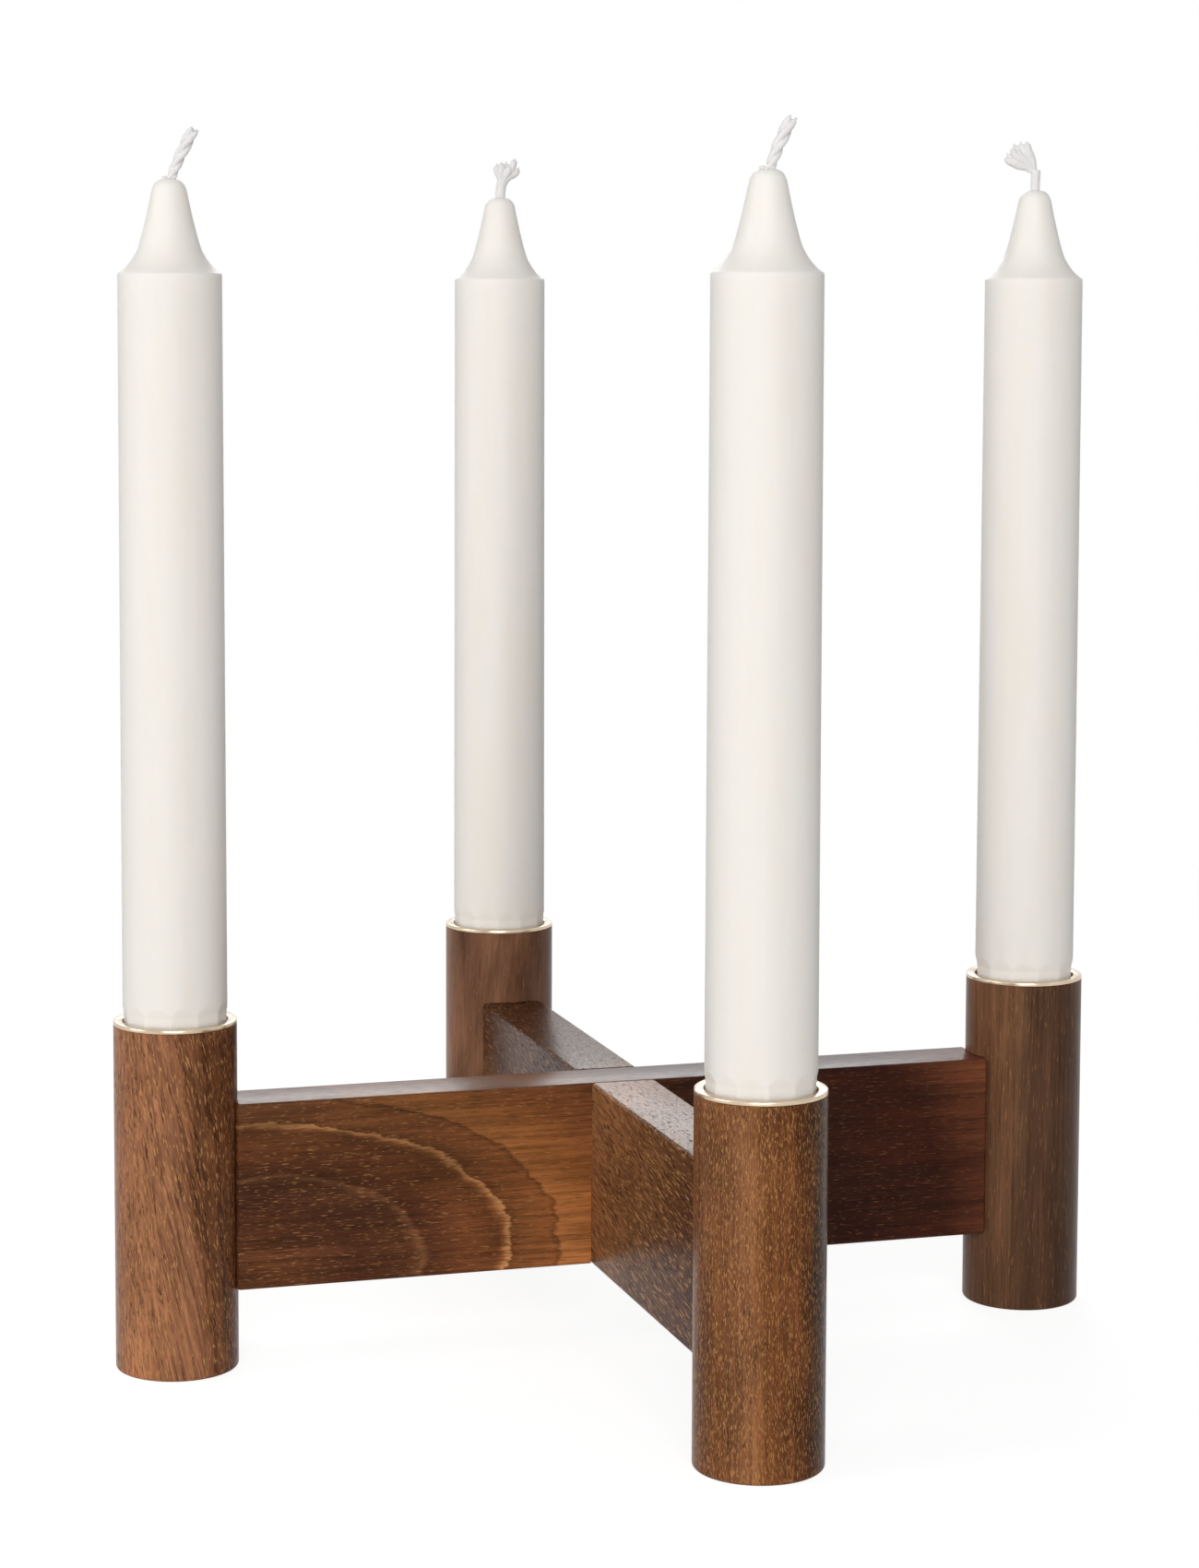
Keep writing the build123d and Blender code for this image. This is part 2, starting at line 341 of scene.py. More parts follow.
# Posts: round walnut posts turned on a lathe, with a bore in the top for the cup.
# A shallow flat takes the rail end, and the foot is eased with sandpaper.
# Each post comes from another board, so each has its own figure.
PLACES = ("left", "right", "front", "back")
POST_SIDES = 128
FOOT_EASE = 0.8 * MM
FOOT_EASE_STEPS = 5
TOP_EASE = 0.3 * MM
CUP_WALL = 0.5 * MM
CUP_CLEARANCE = 0.05 * MM
CUP_FLOOR_ROOM = 0.4 * MM
HOUSING_CLEARANCE = 0.1 * MM
# Points this near count as being at one level, and a face is level if its normal is this upright.
NEAR = 0.001 * MM
UPRIGHT = 0.9


def select_edges(piece, wanted):
    """Selects the edges of a piece whose two ends both pass a test, in edge mode."""
    bpy.ops.mesh.select_mode(type="EDGE")
    bpy.ops.mesh.select_all(action="DESELECT")
    bpy.ops.object.mode_set(mode="OBJECT")
    for edge in piece.data.edges:
        edge.select = all(wanted(piece.data.vertices[v].co) for v in edge.vertices)
    bpy.ops.object.mode_set(mode="EDIT")


def select_face(piece, level, facing):
    """Selects the flat faces at a height that face up (1) or down (-1)."""
    bpy.ops.mesh.select_mode(type="FACE")
    bpy.ops.mesh.select_all(action="DESELECT")
    bpy.ops.object.mode_set(mode="OBJECT")
    for face in piece.data.polygons:
        face.select = abs(face.center.z - level) < NEAR and face.normal.z * facing > UPRIGHT
    bpy.ops.object.mode_set(mode="EDIT")


def extrude_up(height):
    """Extrudes the selected faces straight up, or down for a negative height."""
    bpy.ops.mesh.extrude_region_move(TRANSFORM_OT_translate={"value": (0, 0, height)})


# Each post's figure has a painted pool of light, where the wood is drawn lighter round a point on its
# front.
post_walnut = {
    "left": walnut(
        "oiled_walnut_left_post",
        heart=(-135, -30, 40),
        heart_turn=(0, -6, 0),
        reach=(45, 45, 500),
        fibre_turn=(0, -12, 0),
        bands=[
            (0.60, "#966341"),
            (0.76, "#9b6849"),
            (0.83, "#916044"),
            (0.86, "#9a6849"),
            (0.90, "#936246"),
            (0.95, "#845539"),
            (0.965, "#613b25"),
            (0.98, "#7b4f34"),
            (1.05, "#75492f"),
            (1.07, "#4f2f1d"),
            (1.09, "#6c432b"),
            (1.50, "#553420"),
        ],
        painted_light_pool=((-103, -12, 5), 18, 1.3),
        streak=0.4,
        cloud=0.2,
        pore=0.7,
        pore_size=(0.36, 9),
        glint=(0.85, 0.75),
        glint_size=(0.3, 2.2),
        glint_start=0.58,
    ),
    "right": walnut(
        "oiled_walnut_right_post",
        heart=(140, -20, 30),
        heart_turn=(0, 1, 0),
        reach=(45, 45, 700),
        fibre_turn=(0, 1, 0),
        bands=[
            (0.60, "#5e4434"),
            (0.80, "#563d2e"),
            (0.90, "#4d3526"),
            (0.98, "#5a3e2d"),
            (1.04, "#513727"),
            (1.10, "#5f422f"),
            (1.15, "#6f4d37"),
            (1.22, "#694833"),
            (1.40, "#7a543d"),
        ],
        painted_light_pool=((88, -9, 70), 30, 1.15),
        streak=0.25,
        cloud=0.2,
        pore=0.35,
        pore_size=(0.35, 16),
        glint=(0.2, 0.3),
        glint_size=(0.32, 3),
        glint_start=0.62,
    ),
    "front": walnut(
        "oiled_walnut_front_post",
        heart=(-45, -75, 30),
        heart_turn=(0, -1, 0),
        reach=(45, 45, 700),
        fibre_turn=(0, -1, 0),
        bands=[
            (0.60, "#70462d"),
            (0.90, "#6f442b"),
            (1.00, "#734729"),
            (1.09, "#7e5236"),
            (1.16, "#8b5b3b"),
            (1.20, "#784a29"),
            (1.29, "#744426"),
            (1.34, "#5c3318"),
            (1.39, "#2e190b"),
        ],
        painted_light_pool=((-4, -110, 0), 26, 1.2),
        streak=0.3,
        cloud=0.25,
        pore=0.5,
        pore_size=(0.3, 2.2),
        glint=(0.9, 0.6),
        glint_size=(0.2, 1.1),
        glint_start=0.55,
    ),
    "back": walnut(
        "oiled_walnut_back_post",
        heart=(-30, 130, 70),
        heart_turn=(0, 12, 0),
        reach=(45, 45, 200),
        fibre_turn=(0, 6, 0),
        bands=[
            (0.55, "#80573f"),
            (0.88, "#85604a"),
            (0.99, "#6d4b38"),
            (1.07, "#6a4936"),
            (1.14, "#805a43"),
            (1.19, "#825b46"),
            (1.23, "#75503b"),
            (1.28, "#6b4c3a"),
            (1.50, "#6b4733"),
        ],
        painted_light_pool=((-9, 88, 46), 14, 1.2),
        streak=0.15,
        cloud=0.45,
        pore=0.2,
        pore_size=(0.35, 12),
        glint=(0.2, 0.2),
        glint_size=(0.32, 3),
        glint_start=0.62,
    ),
}
for place in PLACES:
    low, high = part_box(f"post_{place}")
    cup_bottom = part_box(f"candle_cup_{place}")[0].z
    candle_low, candle_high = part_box(f"candle_{place}")
    radius = (high.x - low.x) / 2
    bore = (candle_high.x - candle_low.x) / 2 + CUP_WALL + CUP_CLEARANCE
    bpy.ops.object.select_all(action="DESELECT")
    bpy.ops.mesh.primitive_cylinder_add(
        vertices=POST_SIDES, radius=radius, depth=high.z - low.z, location=(low + high) / 2
    )
    post = bpy.context.object
    bpy.ops.object.transform_apply(location=True, rotation=True, scale=True)
    bpy.ops.object.mode_set(mode="EDIT")
    select_edges(post, lambda co: co.z < low.z + NEAR)
    bpy.ops.mesh.bevel(offset=FOOT_EASE, segments=FOOT_EASE_STEPS, affect="EDGES")
    select_edges(post, lambda co: co.z > high.z - NEAR)
    bpy.ops.mesh.bevel(offset=TOP_EASE, segments=1, affect="EDGES")
    select_face(post, high.z, 1)
    bpy.ops.mesh.inset(thickness=radius - TOP_EASE - bore)
    extrude_up(cup_bottom - CUP_FLOOR_ROOM - high.z)
    bpy.ops.object.mode_set(mode="OBJECT")
    rail_low, rail_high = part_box(
        "rail_side_to_side" if place in ("left", "right") else "rail_front_to_back"
    )
    room = Vector((0, 0, HOUSING_CLEARANCE))
    shape_with(post, add_box(rail_low - room, rail_high + room), "DIFFERENCE")
    smooth(post, CREASE_ANGLE)
    finish_piece(post, f"walnut_post_{place}", post_walnut[place], "stand", "walnut", f"post_{place}")

# Candle cups: thin brass cups, spun and polished, that hang in the posts by a flat flange.
# Polished brass is a soft mirror, a little uneven where the cloth has rubbed it. The flat of the
# flange is rubbed brightest, and seen at a low angle it shines almost white.
CUP_SIDES = 128
LIP_ROUND = 0.4 * MM
FLANGE_ROUND = 0.35 * MM
FLOOR_ROUND = 1.0 * MM
# A point this near to a radius counts as lying on it.
NEAR_ROUND = 0.01 * MM
CLOTH_SMEAR = (5 * MM, 5 * MM, 0.4 * MM)
# The brighter rubbing of the flat ends this far below it.
DULL_BELOW = 0.4 * MM

brass, tree, coords = new_material("polished_brass")
rubbed = {"Vector": coords, "Scale": CLOTH_SMEAR}
cloth = add_node(tree, "ShaderNodeMapping", rubbed, vector_type="TEXTURE")
smears = add_node(tree, "ShaderNodeTexNoise", {"Vector": cloth, "Scale": 1.0, "Detail": 4.0})
tone = add_node(tree, "ShaderNodeValToRGB", {0: smears})
set_colours(tone, [(0.3, "#c5b197"), (0.7, "#d7c5ae")])
height = add_node(tree, "ShaderNodeSeparateXYZ", {0: coords}).outputs["Z"]
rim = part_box("candle_cup_left")[1].z
rough = add_node(tree, "ShaderNodeMapRange", {0: smears, **NOISE_RANGE, 3: 0.22, 4: 0.34})
rubbing = add_node(tree, "ShaderNodeMapRange", {0: height, 1: rim - DULL_BELOW, 2: rim, 3: 1.0, 4: 0.5})
rough = add_node(tree, "ShaderNodeMath", {0: rough, 1: rubbing}, operation="MULTIPLY")
polish = {"Base Color": tone, "Metallic": 1.0, "Roughness": rough}
surface = add_node(tree, "ShaderNodeBsdfPrincipled", polish)
add_node(tree, "ShaderNodeOutputMaterial", {"Surface": surface})
for place in PLACES:
    low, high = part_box(f"candle_cup_{place}")
    post_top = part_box(f"post_{place}")[1].z
    candle_low, candle_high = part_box(f"candle_{place}")
    axis = ((low + high) / 2).xy
    flange = (high.x - low.x) / 2
    bore = (candle_high.x - candle_low.x) / 2
    centre = (*axis, (high.z + post_top) / 2)
    bpy.ops.object.select_all(action="DESELECT")
    bpy.ops.mesh.primitive_cylinder_add(
        vertices=CUP_SIDES, radius=flange, depth=high.z - post_top, location=centre
    )
    cup = bpy.context.object
    bpy.ops.object.transform_apply(location=True, rotation=True, scale=True)
    bpy.ops.object.mode_set(mode="EDIT")
    select_face(cup, high.z, 1)
    bpy.ops.mesh.inset(thickness=flange - bore)
    extrude_up(candle_low.z - high.z)
    select_face(cup, post_top, -1)
    bpy.ops.mesh.inset(thickness=flange - bore - CUP_WALL)
    extrude_up(low.z - post_top)
    rounded = (
        (lambda co: co.z > high.z - NEAR and (co.xy - axis).length > flange - NEAR_ROUND, FLANGE_ROUND),
        (lambda co: co.z > high.z - NEAR and (co.xy - axis).length < bore + NEAR_ROUND, LIP_ROUND),
        (lambda co: abs(co.z - candle_low.z) < NEAR, FLOOR_ROUND),
        (lambda co: abs(co.z - low.z) < NEAR, FLOOR_ROUND + CUP_WALL),
    )
    for wanted, size in rounded:
        select_edges(cup, wanted)
        bpy.ops.mesh.bevel(offset=size, segments=EASE_STEPS, affect="EDGES")
    bpy.ops.object.mode_set(mode="OBJECT")
    smooth(cup, CREASE_ANGLE)
    finish_piece(cup, f"brass_cup_{place}", brass, "stand", "brass", f"candle_cup_{place}")

# Candles: white stearin wax, cast with a waisted tip and a foot that wedges in the cup. The foot has
# flats all round, which run out in small arches just above the cup.
# Light goes several millimetres into such wax, so its shaded side stays soft and warm.
FLATS = 12
SIDES_PER_FLAT = 12
CANDLE_SIDES = FLATS * SIDES_PER_FLAT
PLUG_STAND = 4.0 * MM
FLAT_INSET = 0.5 * MM
FLAT_RUN_OUT = 2.0 * MM
FOOT_TAPER = 0.9 * MM
DRAFT = 0.2 * MM
TIP_HEIGHT = 19.5 * MM
# The candle is drawn as rings: some in the cup, evenly spaced, more over the arches, then the body.
PLUG_SPACES = 8
PLUG_RINGS = 6
ARCH_RINGS = 24
BODY_RINGS = 16
CURVE_POINTS = 12
WAX_CREASE_ANGLE = 60
# Heights above the shoulder and radii in mm, as curves: the shoulder's edge, flare, neck and dome.
TIP_CURVES = [
    [(-0.6, 10.8), (-0.1, 10.8), (0.05, 10.65), (0.2, 10.35)],
    [(0.2, 10.35), (1.0, 9.1), (2.6, 7.7), (5.0, 6.6)],
    [(5.0, 6.6), (8.2, 5.5), (12.0, 4.7), (16.0, 3.85)],
    [(16.0, 3.85), (18.3, 3.5), (19.4, 2.8), (19.5, 1.0)],
]
# Each candle is put into its cup with another turn, in degrees.
FLAT_TURN = {"left": 15, "right": 23, "front": 17, "back": 13}
# A small nub of wax is left beside the wick on two candles, at these places in mm from the tip.
WAX_NUB = {"left": (-0.8, 0.25, 0.05), "front": (-1.0, 0.3, 0.1)}
NUB_RADIUS = 0.65 * MM
NUB_STRETCH = (1.1, 0.9, 0.8)
NUB_TURN = math.radians(-17)
NUB_SIDES = 16
NUB_RINGS = 8
WAX_CLOUD = (4 * MM, 4 * MM, 40 * MM)
WAX_RIPPLE = 0.05 * MM

wax, tree, coords = new_material("cast_stearin_wax")
poured = {"Vector": coords, "Scale": WAX_CLOUD}
flow = add_node(tree, "ShaderNodeMapping", poured, vector_type="TEXTURE")
clouds = add_node(tree, "ShaderNodeTexNoise", {"Vector": flow, "Scale": 1.0, "Detail": 3.0})
tone = add_node(tree, "ShaderNodeValToRGB", {0: clouds})
set_colours(tone, [(0.3, "#faefe7"), (0.7, "#fdf2ec")])
rough = add_node(tree, "ShaderNodeMapRange", {0: clouds, **NOISE_RANGE, 3: 0.42, 4: 0.55})
ripple = add_node(tree, "ShaderNodeBump", {"Height": clouds, "Strength": 0.15, "Distance": WAX_RIPPLE})
stearin = {
    "Base Color": tone,
    "Roughness": rough,
    "Normal": ripple,
    "IOR": 1.44,
    "Specular IOR Level": 0.3,
    "Subsurface Weight": 1.0,
    "Subsurface Radius": (1.0, 0.95, 0.9),
    "Subsurface Scale": 3 * MM,
}
surface = add_node(tree, "ShaderNodeBsdfPrincipled", stearin)
add_node(tree, "ShaderNodeOutputMaterial", {"Surface": surface})
for place in PLACES:
    low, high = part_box(f"candle_{place}")
    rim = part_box(f"candle_cup_{place}")[1].z
    middle = (low + high) / 2
    radius = (high.x - low.x) / 2
    plug = rim - low.z + PLUG_STAND
    shoulder = high.z - low.z - TIP_HEIGHT
    rings = [(plug * step / PLUG_SPACES, radius) for step in range(PLUG_RINGS)]
    rings += [(plug - PLUG_STAND * (1 - step / ARCH_RINGS), radius) for step in range(ARCH_RINGS + 1)]
    for step in range(1, BODY_RINGS):
        rings.append((plug + (shoulder - plug) * step / BODY_RINGS, radius - DRAFT * step / BODY_RINGS))
    for corners in TIP_CURVES:
        points = interpolate_bezier(*[Vector(corner) for corner in corners], CURVE_POINTS)
        rings += [(shoulder + height * MM, size * MM) for height, size in points]
    bpy.ops.object.select_all(action="DESELECT")
    bpy.ops.mesh.primitive_grid_add(x_subdivisions=CANDLE_SIDES, y_subdivisions=len(rings) - 1, size=2)
    candle = bpy.context.object
    # The grid goes from -1 to 1 both ways. Its columns go round the axis, and its rows become rings.
    for vertex in candle.data.vertices:
        angle = math.pi * (vertex.co.x + 1)
        level, size = rings[round((vertex.co.y + 1) / 2 * (len(rings) - 1))]
        if level <= plug:
            half_flat = math.pi / FLATS
            off = (angle - math.radians(FLAT_TURN[place])) % (2 * half_flat) - half_flat
            inset = FLAT_INSET * min(1, (plug - level) / FLAT_RUN_OUT)
            taper = FOOT_TAPER * max(0, 1 - level / (plug - PLUG_STAND))
            size = min(radius, (radius - inset - taper) / math.cos(off))
        vertex.co = (
            middle.x + size * math.cos(angle),
            middle.y + size * math.sin(angle),
            low.z + level,
        )
    bpy.ops.object.mode_set(mode="EDIT")
    bpy.ops.mesh.select_all(action="SELECT")
    bpy.ops.mesh.remove_doubles(threshold=NEAR)
    bpy.ops.mesh.select_all(action="DESELECT")
    bpy.ops.mesh.select_non_manifold()
    bpy.ops.mesh.edge_face_add()
    bpy.ops.mesh.select_all(action="SELECT")
    bpy.ops.mesh.normals_make_consistent(inside=False)
    bpy.ops.object.mode_set(mode="OBJECT")
    if place in WAX_NUB:
        bpy.ops.object.select_all(action="DESELECT")
        nub_place = Vector((middle.x, middle.y, high.z)) + Vector(WAX_NUB[place]) * MM
        bpy.ops.mesh.primitive_uv_sphere_add(
            segments=NUB_SIDES, ring_count=NUB_RINGS, radius=NUB_RADIUS, location=nub_place
        )
        nub = bpy.context.object
        nub.scale = NUB_STRETCH
        nub.rotation_euler.z = NUB_TURN
        bpy.ops.object.transform_apply(location=True, rotation=True, scale=True)
        shape_with(candle, nub, "UNION")
    smooth(candle, WAX_CREASE_ANGLE)
    finish_piece(candle, f"wax_candle_{place}", wax, f"{place}_candle", "candle_wax", f"candle_{place}")

# Wicks: cotton cords of three plies, cast into the wax over the whole length of the candle.
# They are cut off by hand, so the plies swell and open at the end, and the fibres cling together.
# Raw cotton is white and matt, soft in its own shade, with a faint bloom of loose fibres.
PLY_RADIUS = 0.4 * MM
PLY_PITCH = 8.0 * MM
PLY_STEP = 0.8 * MM
FIBRE_RADIUS = 0.2 * MM
FELT_SIZE = 0.12 * MM
FELT_SMOOTHING = 5
NO_CREASE_ANGLE = 180
# Cotton fibres are too fine to show, so the yarn is drawn with streaks of this width and length.
YARN_STREAK = (0.3 * MM, 0.3 * MM, 1.6 * MM)
YARN_RELIEF = 0.1 * MM

cotton, tree, coords = new_material("plied_cotton")
spun = {"Vector": coords, "Scale": YARN_STREAK}
yarn = add_node(tree, "ShaderNodeMapping", spun, vector_type="TEXTURE")
fibres = add_node(tree, "ShaderNodeTexNoise", {"Vector": yarn, "Scale": 1.0, "Detail": 3.0})
tone = add_node(tree, "ShaderNodeValToRGB", {0: fibres})
set_colours(tone, [(0.3, "#e8e6e5"), (0.7, "#f0eeed")])
bump = add_node(tree, "ShaderNodeBump", {"Height": fibres, "Strength": 0.05, "Distance": YARN_RELIEF})
raw_cotton = {
    "Base Color": tone,
    "Roughness": 0.9,
    "Normal": bump,
    "Specular IOR Level": 0.1,
    "Sheen Weight": 0.1,
    "Subsurface Weight": 0.5,
    "Subsurface Radius": (1.0, 1.0, 1.0),
    "Subsurface Scale": 0.8 * MM,
}
surface = add_node(tree, "ShaderNodeBsdfPrincipled", raw_cotton)
add_node(tree, "ShaderNodeOutputMaterial", {"Surface": surface})


def thread(points, radii):
    """A round thread along points in metres, as thick as the radii say, with closed ends."""
    curve = bpy.data.curves.new("thread", "CURVE")
    curve.dimensions = "3D"
    # With a bevel of 1, the radius of each point is the thread's own radius there.
    curve.bevel_depth = 1.0
    curve.bevel_resolution = 2
    curve.use_fill_caps = True
    spline = curve.splines.new("NURBS")
    spline.points.add(len(points) - 1)
    for point, centre, radius in zip(spline.points, points, radii):
        point.co = (*centre, 1.0)
        point.radius = radius
    spline.order_u = 3
    spline.use_endpoint_u = True
    spline.resolution_u = 2
    strand = bpy.data.objects.new("thread", curve)
    bpy.context.collection.objects.link(strand)
    return strand


# Clumps of fibres at a cut end: how far they lean and stand out, how deep and how far off the middle
# they start, how far they bow, and how many fibre radii thick they are at the root, middle and tip.
FRAY_LEAN = 0.5
FRAY_SHORTEST = 0.3 * MM
FRAY_LONGEST = 0.8 * MM
FRAY_ROOT = 0.6 * MM
FRAY_OFFSET = 0.4 * MM
FRAY_BOW = 0.1 * MM
FRAY_TAPER = (1.5, 1.3, 0.7)


def fray(end, way, count, draw):
    """Short clumps of fibres that stand out of a cut end, each in its own direction."""
    clumps = []
    for _ in range(count):
        lean = Vector([draw.uniform(-FRAY_LEAN, FRAY_LEAN) for _ in range(3)])
        reach = draw.uniform(FRAY_SHORTEST, FRAY_LONGEST)
        start = end - way * FRAY_ROOT + lean * FRAY_OFFSET
        tip = end + (way + lean).normalized() * reach
        bow = (start + tip) / 2 + lean * FRAY_BOW
        clumps.append(thread([start, bow, tip], [FIBRE_RADIUS * share for share in FRAY_TAPER]))
    return clumps


# Deep in the wax the wick is a plain straight core.
CORE_DEPTH = 7.0 * MM
CORE_RADIUS = 1.0 * MM
# The plied wicks start straight and then lean over in one bend, given as offsets and heights in mm
# from where it leaves the middle of the wax. The plies sink into each other a little, swell over the
# last steps before the cut, and are thinner at the cut itself.
PLIES = 3
PLY_SINK = 1.1
ROOT_STEPS = 5
BEND_DEPTH = 4.0 * MM
BEND_POINTS = 20
END_SWELL = 0.85
SWELL_STEPS = 17
CUT_THINNING = 0.7
PLY_CLUMPS = 6
PLIED_BENDS = {
    "left": [(0.0, 0.0), (-0.3, 3.0), (0.7, 6.2), (5.8, 15.2)],
    "front": [(0.0, 0.0), (-0.3, 3.0), (0.6, 6.2), (4.9, 14.5)],
}
# The short wicks stand up in a plain stub, given as its radius, lean and height in mm, with a slight
# waist and bow.
STUBS = {"back": (1.3, 0.5, 3.6), "right": (1.15, -0.15, 4.5)}
STUB_DEPTH = 2.0 * MM
STUB_WAIST = 0.95
STUB_BOW = 0.25
# The stub ends in a brush. Its strands end at these offsets, depths and heights in mm. Each starts
# inside the stub, a little off its middle, bends at a knee and a wrist, and has these radii.
BRUSH_ROOT = 0.6 * MM
BRUSH_COLLAR = 0.3 * MM
BRUSH_OFF_MIDDLE = 0.2
BRUSH_KNEE = 0.3
BRUSH_KNEE_RISE = 0.2
BRUSH_WRIST = 0.7
BRUSH_RADII = [size * MM for size in (0.6, 0.75, 0.95, 1.0, 0.75)]
BRUSH_CLUMPS = 4
BRUSHES = {
    "back": [
        (-0.8, 0.4, 7.4),
        (0.4, -0.6, 7.9),
        (1.5, 0.7, 8.0),
        (3.5, -0.2, 8.7),
        (4.3, 0.4, 6.7),
        (2.3, -0.7, 7.2),
    ],
    "right": [
        (6.4, 0.2, 6.8),
        (5.8, -0.6, 7.8),
        (5.2, 0.6, 8.8),
        (4.5, -0.3, 9.7),
        (3.2, -0.5, 10.1),
        (1.9, 0.4, 10.2),
        (5.0, 0.0, 6.0),
        (3.9, 0.4, 8.6),
        (2.9, 0.1, 9.0),
    ],
}
# The way in which each wick leans, in degrees from +X.
HEADING = {"left": -17, "right": 163, "front": -17, "back": -17}
FIRST_SEED = 7
for number, place in enumerate(PLACES):
    draw = random.Random(number + FIRST_SEED)
    low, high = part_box(f"candle_{place}")
    top = Vector(((low.x + high.x) / 2, (low.y + high.y) / 2, high.z))
    angle = math.radians(HEADING[place])
    side = Vector((math.cos(angle), math.sin(angle), 0))
    depth = Vector((-math.sin(angle), math.cos(angle), 0))
    up = Vector((0, 0, 1))
    core_foot = Vector((top.x, top.y, low.z))
    core_top = top - up * CORE_DEPTH
    core = thread([core_foot, (core_foot + core_top) / 2, core_top], [CORE_RADIUS] * 3)
    root = core_top - up * PLY_STEP
    strands = []
    if place in PLIED_BENDS:
        start = top - up * BEND_DEPTH
        course = [root + up * PLY_STEP * step for step in range(ROOT_STEPS)]
        bend = interpolate_bezier(*[Vector((s, 0, z)) for s, z in PLIED_BENDS[place]], BEND_POINTS)
        course += [start + (side * point.x + up * point.z) * MM for point in bend]
        for ply in range(PLIES):
            points, radii = [], []
            for step in range(len(course) - 1):
                way = (course[step + 1] - course[max(step - 1, 0)]).normalized()
                across = depth.cross(way)
                turn = 2 * math.pi * (ply / PLIES + step * PLY_STEP / PLY_PITCH)
                swell = 1 + END_SWELL * max(0, step - len(course) + 1 + SWELL_STEPS) / SWELL_STEPS
                offset = (across * math.cos(turn) + depth * math.sin(turn)) * PLY_RADIUS * swell
                points.append(course[step] + offset)
                radii.append(PLY_RADIUS * PLY_SINK * swell)
            radii[-1] *= CUT_THINNING
            strands.append(thread(points, radii))
            strands += fray(points[-1], (points[-1] - points[-2]).normalized(), PLY_CLUMPS, draw)
    else:
        stub_radius, lean, stub_height = [size * MM for size in STUBS[place]]
        stub_end = top + side * lean + up * stub_height
        waist = (top + stub_end) / 2 - side * lean * STUB_BOW
        stub_radii = [PLY_RADIUS * 2, stub_radius, stub_radius * STUB_WAIST, stub_radius]
        strands.append(thread([root, top - up * STUB_DEPTH, waist, stub_end], stub_radii))
        for s, d, z in BRUSHES[place]:
            end = top + (side * s + depth * d + up * z) * MM
            out = end - stub_end
            foot = stub_end + Vector((out.x, out.y, 0)) * BRUSH_OFF_MIDDLE
            knee = foot + out * BRUSH_KNEE + up * BRUSH_KNEE_RISE * out.z
            wrist = foot + out * BRUSH_WRIST
            points = [foot - up * BRUSH_ROOT, foot + up * BRUSH_COLLAR, knee, wrist, end]
            strands.append(thread(points, BRUSH_RADII))
            strands += fray(end, (end - wrist).normalized(), BRUSH_CLUMPS, draw)
    bpy.ops.object.select_all(action="DESELECT")
    for strand in strands:
        strand.select_set(True)
    wick = strands[0]
    bpy.context.view_layer.objects.active = wick
    bpy.ops.object.convert(target="MESH")
    bpy.ops.object.join()
    felt = wick.modifiers.new("felt", "REMESH")
    felt.mode = "VOXEL"
    felt.voxel_size = FELT_SIZE
    bpy.ops.object.modifier_apply(modifier=felt.name)
    soft = wick.modifiers.new("soft", "SMOOTH")
    soft.iterations = FELT_SMOOTHING
    bpy.ops.object.modifier_apply(modifier=soft.name)
    core.select_set(True)
    bpy.context.view_layer.objects.active = core
    bpy.ops.object.convert(target="MESH")
    bpy.context.view_layer.objects.active = wick
    bpy.ops.object.join()
    smooth(wick, NO_CREASE_ANGLE)
    finish_piece(wick, f"cotton_wick_{place}", cotton, f"{place}_candle", "wick_cotton", f"wick_{place}")

# Floor and backdrop: a white paper sweep. Near the object it takes a soft shadow, and further out
# it goes over into the white of the backdrop.
FLOOR_SIZE = 6.0
SHADOW_REACH = 0.25
SWEEP_REACH = 0.7
# In the shadow's reach the paper glows by itself and answers to the lamps in these shares.
SHADOW_GLOW = 0.84
SHADOW_LIT = 0.35
WHITE = linear("#ffffff")


def backdrop_rays(tree):
    """1 for a ray that shows the backdrop, straight or in gloss or glass, and 0 for one that lights."""
    rays = add_node(tree, "ShaderNodeLightPath").outputs
    seen = rays["Is Camera Ray"]
    for kind in ("Is Glossy Ray", "Is Transmission Ray"):
        seen = add_node(tree, "ShaderNodeMath", {0: seen, 1: rays[kind]}, operation="MAXIMUM")
    return seen


bpy.ops.object.select_all(action="DESELECT")
bpy.ops.mesh.primitive_plane_add(size=FLOOR_SIZE, location=(0, 0, 0))
floor = bpy.context.object
floor.name = "floor"
paper, tree, coords = new_material("white_paper_sweep")
seen = backdrop_rays(tree)
far = add_node(tree, "ShaderNodeVectorMath", {0: coords}, operation="LENGTH").outputs["Value"]
reach = {0: far, 1: SHADOW_REACH, 2: SWEEP_REACH}
glow_level = add_node(tree, "ShaderNodeMapRange", {**reach, 3: SHADOW_GLOW, 4: 1.0})
lit_level = add_node(tree, "ShaderNodeMapRange", {**reach, 3: SHADOW_LIT, 4: 0.0})
glow = add_node(tree, "ShaderNodeEmission", {"Color": WHITE, "Strength": glow_level})
lit = add_node(tree, "ShaderNodeBsdfDiffuse", {"Color": lit_level})
shown = add_node(tree, "ShaderNodeAddShader", {0: glow, 1: lit})
bounce = add_node(tree, "ShaderNodeBsdfDiffuse", {"Color": linear("#dadada")})
sweep = add_node(tree, "ShaderNodeMixShader", {0: seen, 1: bounce, 2: shown})
add_node(tree, "ShaderNodeOutputMaterial", {"Surface": sweep})
floor.data.materials.append(paper)

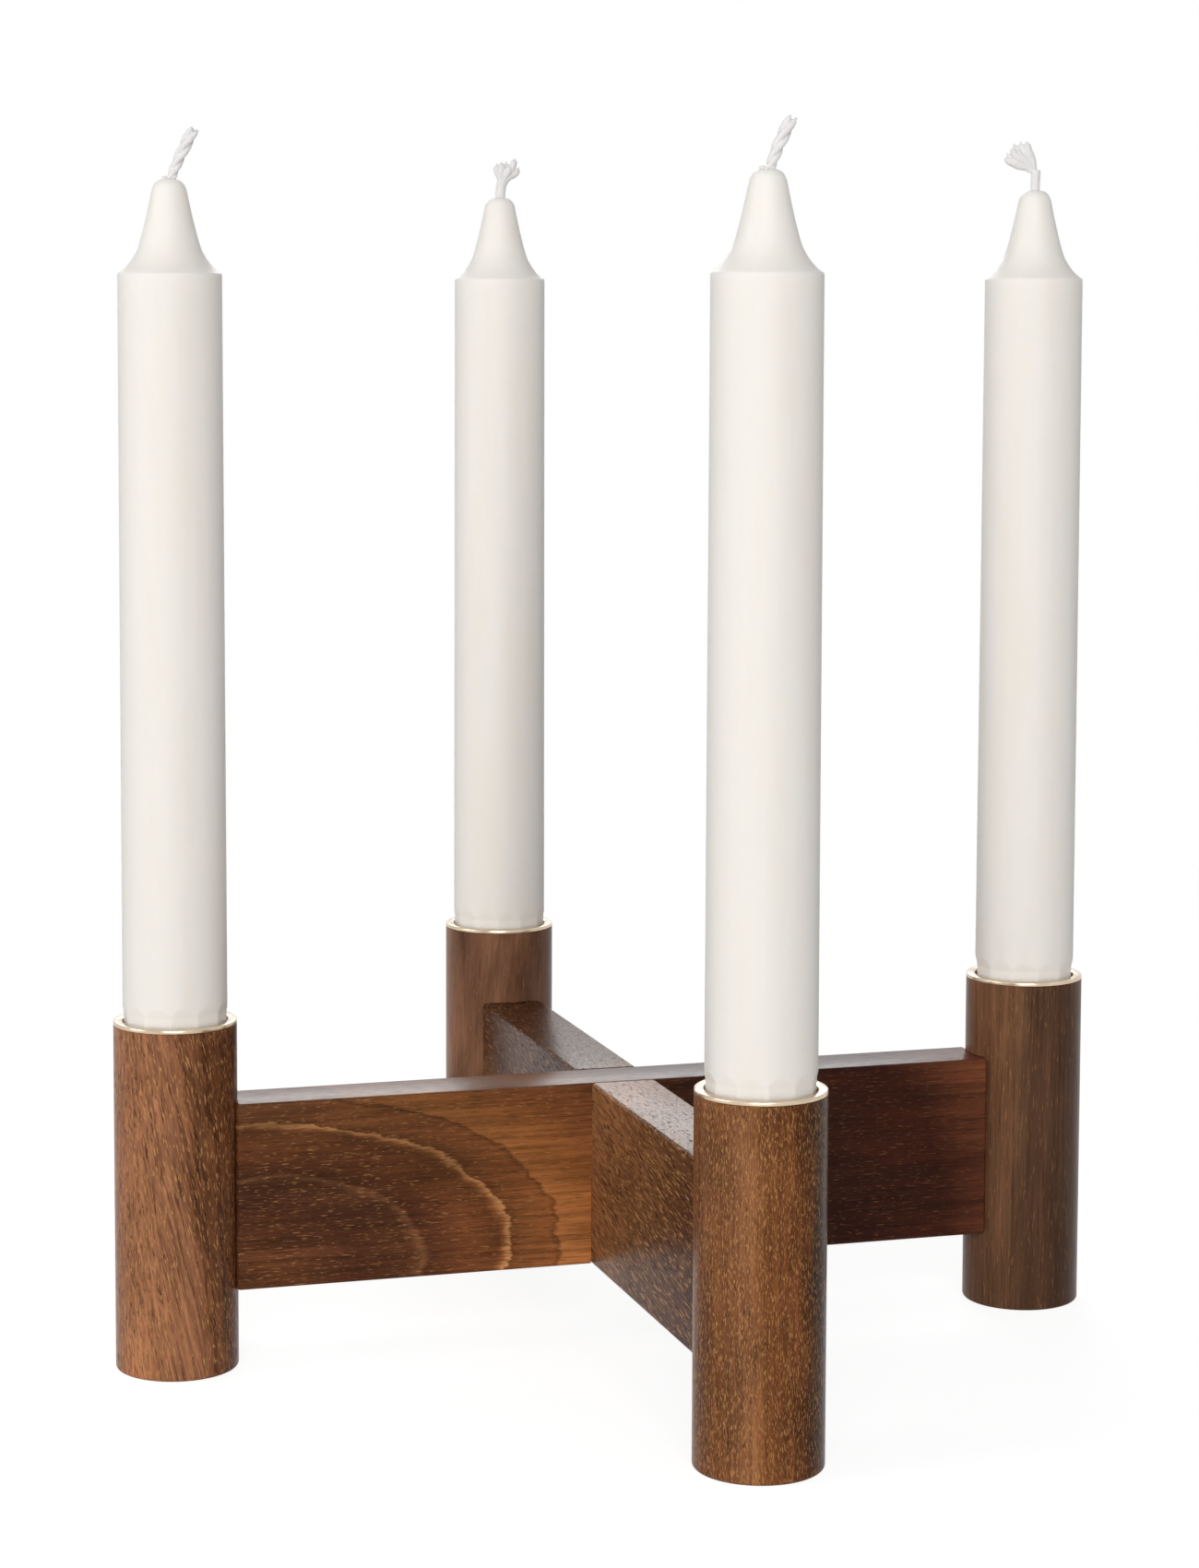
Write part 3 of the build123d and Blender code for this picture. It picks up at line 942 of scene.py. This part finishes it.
# The studio round it is plain white where it shows, and lights the object only weakly.
FILL_LEVEL = 0.23
world = bpy.data.worlds.new("white_studio")
bpy.context.scene.world = world
world.use_nodes = True
tree = world.node_tree
tree.nodes.clear()
level = add_node(tree, "ShaderNodeMapRange", {0: backdrop_rays(tree), 3: FILL_LEVEL, 4: 1.0})
sky = add_node(tree, "ShaderNodeBackground", {"Color": WHITE, "Strength": level})
add_node(tree, "ShaderNodeOutputWorld", {"Surface": sky})

# Lights: a large soft lamp above and behind the camera, a weak one from the left side, and one behind
# the object that gives the flat tops of the rails their sheen, as in a small photo studio.
LAMP_AIM = Vector((0, 0, 0.13))
# For each lamp its azimuth and elevation in degrees, distance, width and height in metres, and watts.
LAMPS = {
    "key_lamp": (-16, 18, 3.0, 1.75, 1.6, 53),
    "side_lamp": (-88, 18, 2.4, 1.2, 1.2, 15),
    "back_lamp": (168, 22, 2.2, 1.2, 0.6, 14),
}


def direction(azimuth, elevation):
    """A unit vector at an azimuth, from the front towards the right, and an elevation, in radians."""
    level = math.cos(elevation)
    return Vector((math.sin(azimuth) * level, -math.cos(azimuth) * level, math.sin(elevation)))


for name, (azimuth, elevation, distance, width, height, watts) in LAMPS.items():
    towards_lamp = direction(math.radians(azimuth), math.radians(elevation))
    bpy.ops.object.light_add(type="AREA", location=LAMP_AIM + towards_lamp * distance)
    lamp = bpy.context.object
    lamp.name = name
    lamp.data.shape = "RECTANGLE"
    lamp.data.size = width
    lamp.data.size_y = height
    lamp.data.energy = watts
    lamp.visible_camera = False
    lamp.rotation_mode = "QUATERNION"
    lamp.rotation_quaternion = (-towards_lamp).to_track_quat("-Z", "Y")

# Camera: a long lens at about the height of the candles' shoulders, a little to the left of the front.
# The lens is given in pixels of a picture that is 1300 wide and 1700 high.
AZIMUTH = math.radians(-16.73)
PITCH = math.radians(5.14)
ROLL = math.radians(0.2)
DISTANCE = 774.2 * MM
AIM_SIDE = -3.58 * MM
AIM_HEIGHT = 155.5 * MM
LENS_PIXELS = 3870.0
LONG_SIDE_PIXELS = 1700
SENSOR = 36.0
LENS_SHIFT = -0.1
back = direction(AZIMUTH, PITCH)
side = Vector((math.cos(AZIMUTH), math.sin(AZIMUTH), 0))
aim = side * AIM_SIDE + Vector((0, 0, AIM_HEIGHT))
bpy.ops.object.camera_add(location=aim + back * DISTANCE)
camera = bpy.context.object
camera.rotation_mode = "QUATERNION"
camera.rotation_quaternion = (-back).to_track_quat("-Z", "Y") @ Quaternion((0, 0, 1), ROLL)
camera.data.sensor_width = SENSOR
camera.data.lens = LENS_PIXELS / LONG_SIDE_PIXELS * SENSOR
camera.data.shift_y = LENS_SHIFT
bpy.context.scene.camera = camera
bpy.context.scene.view_settings.view_transform = "Standard"
